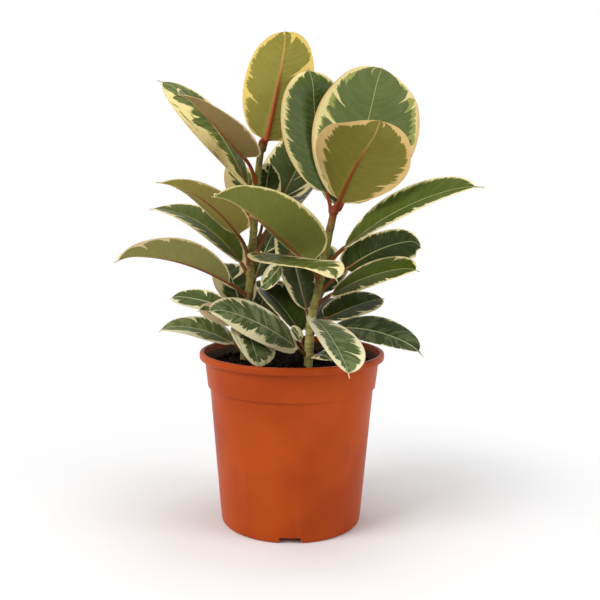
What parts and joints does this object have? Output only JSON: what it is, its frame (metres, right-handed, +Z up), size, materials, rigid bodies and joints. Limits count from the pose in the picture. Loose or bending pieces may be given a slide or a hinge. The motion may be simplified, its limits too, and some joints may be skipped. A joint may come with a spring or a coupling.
{
  "type": "potted rubber plant",
  "caption": "Bushy variegated rubber plant with broad glossy leaves on upright stems, growing in a round tapered plastic nursery pot.",
  "frame": {"origin": "on the pot's axis, at the level of the surface that the pot stands on, in the middle of the flat pad under the pot", "axes": "+Z straight up along the pot's axis, -Y towards the front of the plant, +X to its right as seen from the front"},
  "size_m": [0.31, 0.2121, 0.4531],
  "materials": {
    "terracotta_plastic": "satin moulded plastic, orange terracotta",
    "potting_soil": "damp dark peat with a rough surface",
    "green_stem": "smooth green-brown bark, satin",
    "leaf": "waxy leaf, dark green with cream edges, glossy above and dull below"
  },
  "bodies": {
    "root": {"nursery_pot": "terracotta_plastic", "potting_soil": "potting_soil", "left_stem": "green_stem", "right_stem": "green_stem", "left_leaf_01": "leaf", "left_leaf_02": "leaf", "left_leaf_03": "leaf", "left_leaf_04": "leaf", "left_leaf_05": "leaf", "left_leaf_06": "leaf", "left_leaf_07": "leaf", "left_leaf_08": "leaf", "left_leaf_09": "leaf", "left_leaf_10": "leaf", "left_leaf_11": "leaf", "left_leaf_12": "leaf", "left_leaf_13": "leaf", "left_leaf_14": "leaf", "left_leaf_15": "leaf", "left_leaf_16": "leaf", "left_leaf_17": "leaf", "left_leaf_18": "leaf", "left_leaf_19": "leaf", "right_leaf_01": "leaf", "right_leaf_02": "leaf", "right_leaf_03": "leaf", "right_leaf_04": "leaf", "right_leaf_05": "leaf", "right_leaf_06": "leaf", "right_leaf_07": "leaf", "right_leaf_08": "leaf", "right_leaf_09": "leaf", "right_leaf_10": "leaf", "right_leaf_11": "leaf", "right_leaf_12": "leaf", "right_leaf_13": "leaf", "right_leaf_14": "leaf", "right_leaf_15": "leaf", "right_leaf_16": "leaf", "right_leaf_17": "leaf", "right_leaf_18": "leaf", "right_leaf_19": "leaf", "right_leaf_20": "leaf"}
  },
  "joints": []
}
